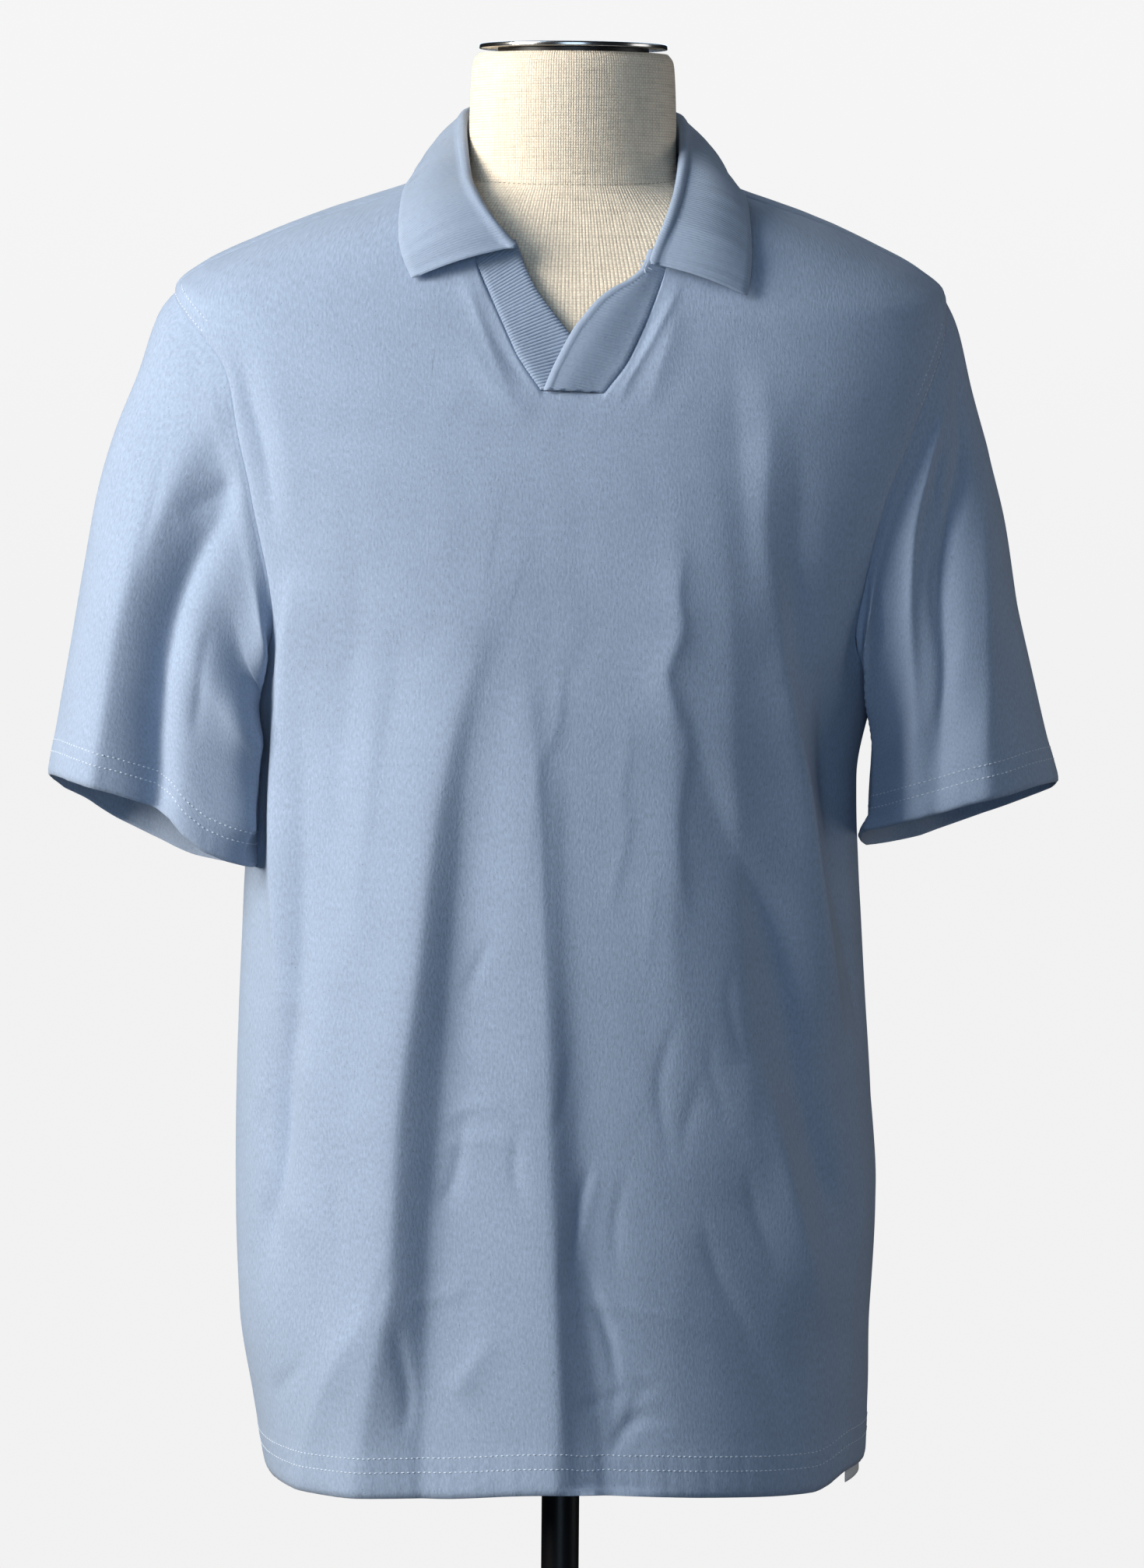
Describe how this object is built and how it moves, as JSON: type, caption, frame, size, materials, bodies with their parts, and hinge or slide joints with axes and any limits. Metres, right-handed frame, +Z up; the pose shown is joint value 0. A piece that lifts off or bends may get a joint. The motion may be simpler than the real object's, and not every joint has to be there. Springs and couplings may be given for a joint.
{
  "type": "polo shirt on a dress form",
  "caption": "Short-sleeved jersey polo shirt with an open rib collar and a V placket, worn on a limbless linen dress form on a pole.",
  "frame": {"origin": "centre of the round foot's underside", "axes": "+Z up, the shirt's front faces -Y, +X is the wearer's left"},
  "size_m": [0.5846, 0.33, 1.2979],
  "materials": {
    "jersey": "fine single jersey, matt",
    "rib": "flat-knit rib, matt",
    "label": "thin woven tape, bare",
    "linen": "plain-weave linen over a hard shell",
    "dark_metal": "dark satin",
    "bright_metal": "polished",
    "black_gloss": "black, half gloss"
  },
  "bodies": {
    "root": {"front": "jersey", "back": "jersey", "sleeve_left": "jersey", "sleeve_right": "jersey", "collar": "rib", "placket_left": "rib", "placket_right": "rib", "label": "label", "form_body": "linen", "neck_plate": "dark_metal", "neck_cap": "bright_metal", "pole": "black_gloss", "pole_socket": "black_gloss", "base": "black_gloss"}
  },
  "joints": []
}
